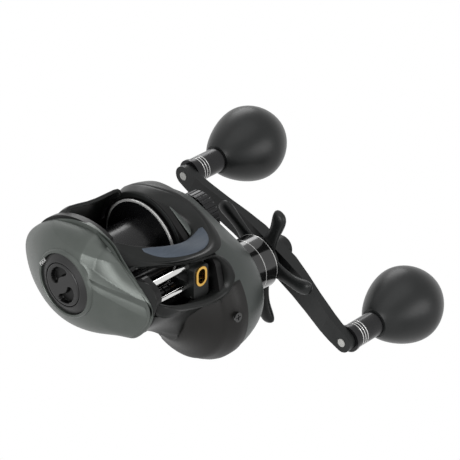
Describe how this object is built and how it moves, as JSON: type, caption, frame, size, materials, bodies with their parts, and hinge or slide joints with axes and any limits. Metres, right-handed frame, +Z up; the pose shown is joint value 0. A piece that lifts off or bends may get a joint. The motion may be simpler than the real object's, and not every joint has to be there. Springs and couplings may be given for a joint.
{
  "type": "baitcasting fishing reel",
  "caption": "Low-profile baitcasting reel: spool between side covers, line guide, brake dial, star drag, thumb bar and a double crank with two round knobs.",
  "frame": {"origin": "on the underside of the reel foot, straight below the middle of the spool", "axes": "+X along the spool towards the crank, -Y the way the line leaves, +Z up, away from the rod"},
  "size_m": [0.1602, 0.1286, 0.0872],
  "materials": {
    "shell_gunmetal": "satin gunmetal paint on the palm cover",
    "gear_cover_grey": "satin dark grey paint",
    "black_frame": "satin black anodised",
    "black_plastic": "semi-gloss black, moulded",
    "blue_strip": "brushed blue-grey anodised",
    "spool_black": "gloss black anodised with a bright rim",
    "steel": "ground steel",
    "chrome": "polished steel",
    "brass": "machined brass",
    "gold_ring": "gold nitride coated ring",
    "aluminium_black": "satin black anodised, machined",
    "arm_black": "satin dark anodised",
    "magnet": "nickel plated",
    "fibre": "matt woven fibre",
    "spring_steel": "bright",
    "grip_black": "smooth satin charcoal skin"
  },
  "bodies": {
    "reel_body": {"frame": "black_frame", "reel_foot": "black_frame", "foot_screws": "steel", "hood": "black_plastic", "hood_insert": "blue_strip", "lower_front_cover": "black_plastic", "front_cover_screw": "steel", "palm_cover": "shell_gunmetal", "palm_cover_screws": "steel", "brake_housing": "black_plastic", "brake_scale_ring": "black_plastic", "gear_cover": "gear_cover_grey", "pinion_bearing": "steel", "drag_collar": "aluminium_black", "one_way_bearing": "steel", "drive_shaft_bearing": "steel", "spool_bearings": "steel", "yoke_posts": "steel", "yoke_springs": "spring_steel", "guide_rod_lower": "chrome", "guide_rod_upper": "chrome"},
    "spool_group": {"spool": "spool_black", "spool_shaft": "steel", "cross_pin": "steel", "brake_rotor": "steel"},
    "brake_dial_group": {"brake_dial": "black_plastic", "magnet_holder": "black_plastic", "brake_magnets": "magnet"},
    "tension_cap_group": {"tension_cap": "aluminium_black", "tension_spacer": "black_plastic"},
    "thumb_group": {"thumb_bar": "black_plastic", "clutch_cam": "black_plastic"},
    "yoke_group": {"clutch_yoke": "black_plastic"},
    "pinion_group": {"pinion_gear": "brass"},
    "crank_group": {"drive_shaft": "steel", "main_gear": "brass", "fibre_drag_washers": "fibre", "steel_drag_washers": "steel", "ratchet_wheel": "steel", "level_wind_drive_gear": "brass", "one_way_sleeve": "steel", "drag_springs": "spring_steel", "handle_spacer": "steel", "handle_arm": "arm_black", "handle_nut": "aluminium_black", "knob_spindles": "chrome", "knob_bearings": "steel"},
    "star_group": {"star_drag": "aluminium_black"},
    "upper_knob_group": {"knob_sleeve_upper": "aluminium_black", "knob_ball_upper": "grip_black"},
    "lower_knob_group": {"knob_sleeve_lower": "aluminium_black", "knob_ball_lower": "grip_black"},
    "idler_group": {"idler_gear": "black_plastic"},
    "worm_group": {"worm_shaft": "steel", "worm_gear": "brass"},
    "line_guide_group": {"line_guide": "black_plastic", "line_guide_ring": "gold_ring", "line_guide_pawl": "brass"}
  },
  "joints": [
    {"name": "crank_turn", "type": "hinge", "parent": "reel_body", "child": "crank_group", "pos_m": [0, -0.021, 0.0047], "axis": [1, 0, 0], "continuous": true},
    {"name": "star_turn", "type": "hinge", "parent": "crank_group", "child": "star_group", "pos_m": [0, -0.021, 0.0047], "axis": [1, 0, 0], "range_deg": [-180, 180]},
    {"name": "upper_knob_turn", "type": "hinge", "parent": "crank_group", "child": "upper_knob_group", "pos_m": [0, 0.02594, 0.02821], "axis": [1, 0, 0], "continuous": true},
    {"name": "lower_knob_turn", "type": "hinge", "parent": "crank_group", "child": "lower_knob_group", "pos_m": [0, -0.06794, -0.01881], "axis": [1, 0, 0], "continuous": true},
    {"name": "spool_spin", "type": "hinge", "parent": "reel_body", "child": "spool_group", "pos_m": [0, 0, 0.0255], "axis": [1, 0, 0], "continuous": true},
    {"name": "thumb_slide", "type": "slide", "parent": "reel_body", "child": "thumb_group", "axis": [0, 0.6428, -0.766], "range_m": [0, 0.004]},
    {"name": "yoke_slide", "type": "slide", "parent": "reel_body", "child": "yoke_group", "axis": [1, 0, 0], "range_m": [0, 0.0022], "deforming": ["yoke_springs"]},
    {"name": "pinion_spin", "type": "hinge", "parent": "yoke_group", "child": "pinion_group", "pos_m": [0, 0, 0.0255], "axis": [1, 0, 0], "continuous": true},
    {"name": "brake_dial_turn", "type": "hinge", "parent": "reel_body", "child": "brake_dial_group", "pos_m": [0, 0, 0.0255], "axis": [1, 0, 0], "range_deg": [0, 110]},
    {"name": "tension_cap_turn", "type": "hinge", "parent": "reel_body", "child": "tension_cap_group", "pos_m": [0, 0, 0.0255], "axis": [1, 0, 0], "range_deg": [-180, 180]},
    {"name": "idler_spin", "type": "hinge", "parent": "reel_body", "child": "idler_group", "pos_m": [0, -0.02908, 0.01275], "axis": [1, 0, 0], "continuous": true},
    {"name": "worm_spin", "type": "hinge", "parent": "reel_body", "child": "worm_group", "pos_m": [0, -0.0308, 0.0228], "axis": [1, 0, 0], "continuous": true},
    {"name": "line_guide_slide", "type": "slide", "parent": "reel_body", "child": "line_guide_group", "axis": [1, 0, 0], "range_m": [-0.018, 0.0032]}
  ],
  "couplings": [
    {"joint": "spool_spin", "follows": "crank_turn", "ratio": -5.4167},
    {"joint": "pinion_spin", "follows": "crank_turn", "ratio": -5.4167},
    {"joint": "idler_spin", "follows": "crank_turn", "ratio": -1.1111},
    {"joint": "worm_spin", "follows": "crank_turn", "ratio": 1.25},
    {"joint": "yoke_slide", "follows": "thumb_slide", "ratio": 0.55}
  ]
}
